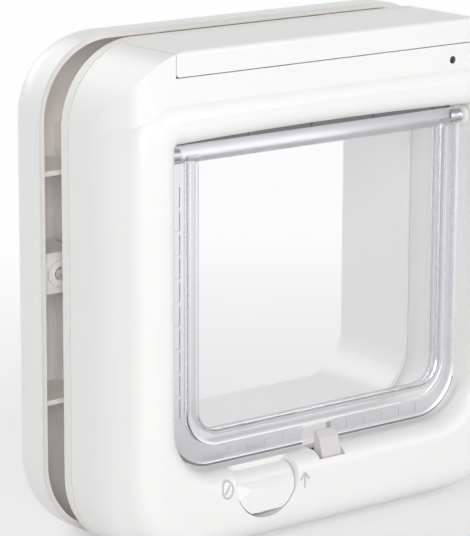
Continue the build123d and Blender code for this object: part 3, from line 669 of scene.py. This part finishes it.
# %% Printed signs beside the dial
sign_grey = grained(
    "sign_grey",
    base=colour(0.57, 0.56, 0.57),
    deep=colour(0.52, 0.51, 0.52),
    gloss=0.4,
    grain_size=0.6 * mm,
)
locked_at = (-55.7 * mm, 30.0 * mm)
locked_half = (2.6 * mm, 3.6 * mm)
open_at = (-15.7 * mm, 26.5 * mm)
open_half = (2.2 * mm, 3.2 * mm)
line_steps = 8
ring_steps = 40


def straight(start, end):
    steps = range(line_steps + 1)
    return [Vector(start).lerp(Vector(end), step / line_steps) for step in steps]


def ring():
    angles = [2 * pi * step / ring_steps for step in range(ring_steps)]
    return [Vector((cos(angle), sin(angle))) for angle in angles]


def sign(name, centre, half_sizes, lines):
    """One printed sign from (path, closed) pairs, riding on the fixed frame."""
    bm = bmesh.new()
    for path, closed in lines:
        placed = [Vector(centre) + point * Vector(half_sizes) for point in path]
        ribbon(bm, placed, closed)
    bmesh.ops.recalc_face_normals(bm, faces=bm.faces)
    mesh = bpy.data.meshes.new(name)
    bm.to_mesh(mesh)
    bm.free()
    mesh.materials.append(sign_grey)
    piece = bpy.data.objects.new(name, mesh)
    bpy.context.scene.collection.objects.link(piece)
    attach(piece, "frame")
    return piece


sign("sign_locked", locked_at, locked_half, [
    (ring(), True),
    (straight((-0.5, -0.5), (0.5, 0.5)), False),
])
sign("sign_open", open_at, open_half, [
    (straight((0, -1), (0, 0.7)), False),
    (straight((-1, 0.1), (0, 1)), False),
    (straight((1, 0.1), (0, 1)), False),
])
print("two signs printed")

# %% [markdown]
# Floor and surroundings are white to the eye, but they must not flood the flap with light. So
# rays that come straight from the camera, or by way of a shiny or clear face, are told apart
# from soft light.

# %% Rays that see the background
def straight_rays(tree):
    """1 for rays from the camera, a mirror-like face or a clear one, and 0 for soft light."""
    seen = Wire(tree).node("ShaderNodeLightPath", output="Is Camera Ray")
    return seen.most(seen.also("Is Glossy Ray")).most(seen.also("Is Transmission Ray"))


print("ray function ready")

# %% [markdown]
# The flap stands on a pale table with no visible edge. The floor takes the soft shadow. What the
# camera sees of it directly, or through the clear flap, is partly lit from within, like a
# light table, so that it reads as a white background without the lamps being too strong. The
# share of that light rises away from the object, where no shadow is to be kept.

# %% Floor
floor_half = 6.0
floor_drop = 0.2 * mm
floor_patch = 0.4
near_glow = 0.44
far_glow = 0.97
glow_change_at = 0.35
floor_dark = colour(0.88, 0.88, 0.88)
floor_light = colour(0.9, 0.9, 0.9)
white = colour(1, 1, 1)

floor_mesh = bpy.data.meshes.new("floor")
quarters = ((-1, -1), (1, -1), (1, 1), (-1, 1))
corners = [(floor_half * east, floor_half * north, -floor_drop) for east, north in quarters]
floor_mesh.from_pydata(corners, [], [(0, 1, 2, 3)])
floor = bpy.data.objects.new("floor", floor_mesh)
bpy.context.scene.collection.objects.link(floor)


def floor_finish(name):
    finish = Finish(name)
    tone = finish.noise(floor_patch)
    finish.set(Base_Color=tone.blend(floor_dark, floor_light), Roughness=0.7)
    glow = tone.node("ShaderNodeEmission", inputs={"Color": white, "Strength": 1.0})
    from_middle = (finish.x * finish.x + finish.y * finish.y).root()
    far = from_middle.past(glow_change_at, glow_change_at)
    glow_share = near_glow + (far_glow - near_glow) * far
    return finish.mix_in(glow_share * straight_rays(finish.tree), glow)


floor_mesh.materials.append(floor_finish("floor_pale"))
print("floor", 2 * floor_half, "m wide")

# %% [markdown]
# White surroundings give an even light from all sides, as in a small photo tent. To the camera
# and to clear or shiny faces they are full white, and to everything else much less, so that the
# lamps can shape the forms.

# %% World
ambient = 0.39
world = bpy.data.worlds.new("studio")
bpy.context.scene.world = world
world.use_nodes = True
surroundings = world.node_tree.nodes["Background"]
strength = ambient + (1 - ambient) * straight_rays(world.node_tree)
plug(world.node_tree, white, surroundings.inputs["Color"])
plug(world.node_tree, strength, surroundings.inputs["Strength"])
print("world light", ambient)

# %% [markdown]
# Three large soft lamps shape the white plastic. The two in front make the front the brightest
# face. The left one is tall and narrow and stands in line with the camera, because only light
# from there reaches the faces that show in the gap between the frames. The lamp behind shines
# through the tunnel from outdoors.

# %% Lamps
lamps_towards = Vector((0, 0, 0.1))


def soft_lamp(name, at, width, height, watts):
    lamp = bpy.data.lights.new(name, "AREA")
    lamp.shape = "RECTANGLE"
    lamp.size = width
    lamp.size_y = height
    lamp.energy = watts
    holder = bpy.data.objects.new(name, lamp)
    holder.location = at
    holder.rotation_euler = (lamps_towards - Vector(at)).to_track_quat("-Z", "Y").to_euler()
    bpy.context.scene.collection.objects.link(holder)


soft_lamp("right_lamp", at=(0.9, -1.7, 0.7), width=1.2, height=1.2, watts=10)
soft_lamp("left_lamp", at=(-1.1, -1.4, 0.63), width=0.5, height=1.2, watts=15)
soft_lamp("back_lamp", at=(-0.3, 1.5, 0.95), width=1.2, height=1.2, watts=12)
bpy.context.scene.view_settings.view_transform = "Standard"
print("lamps ready")
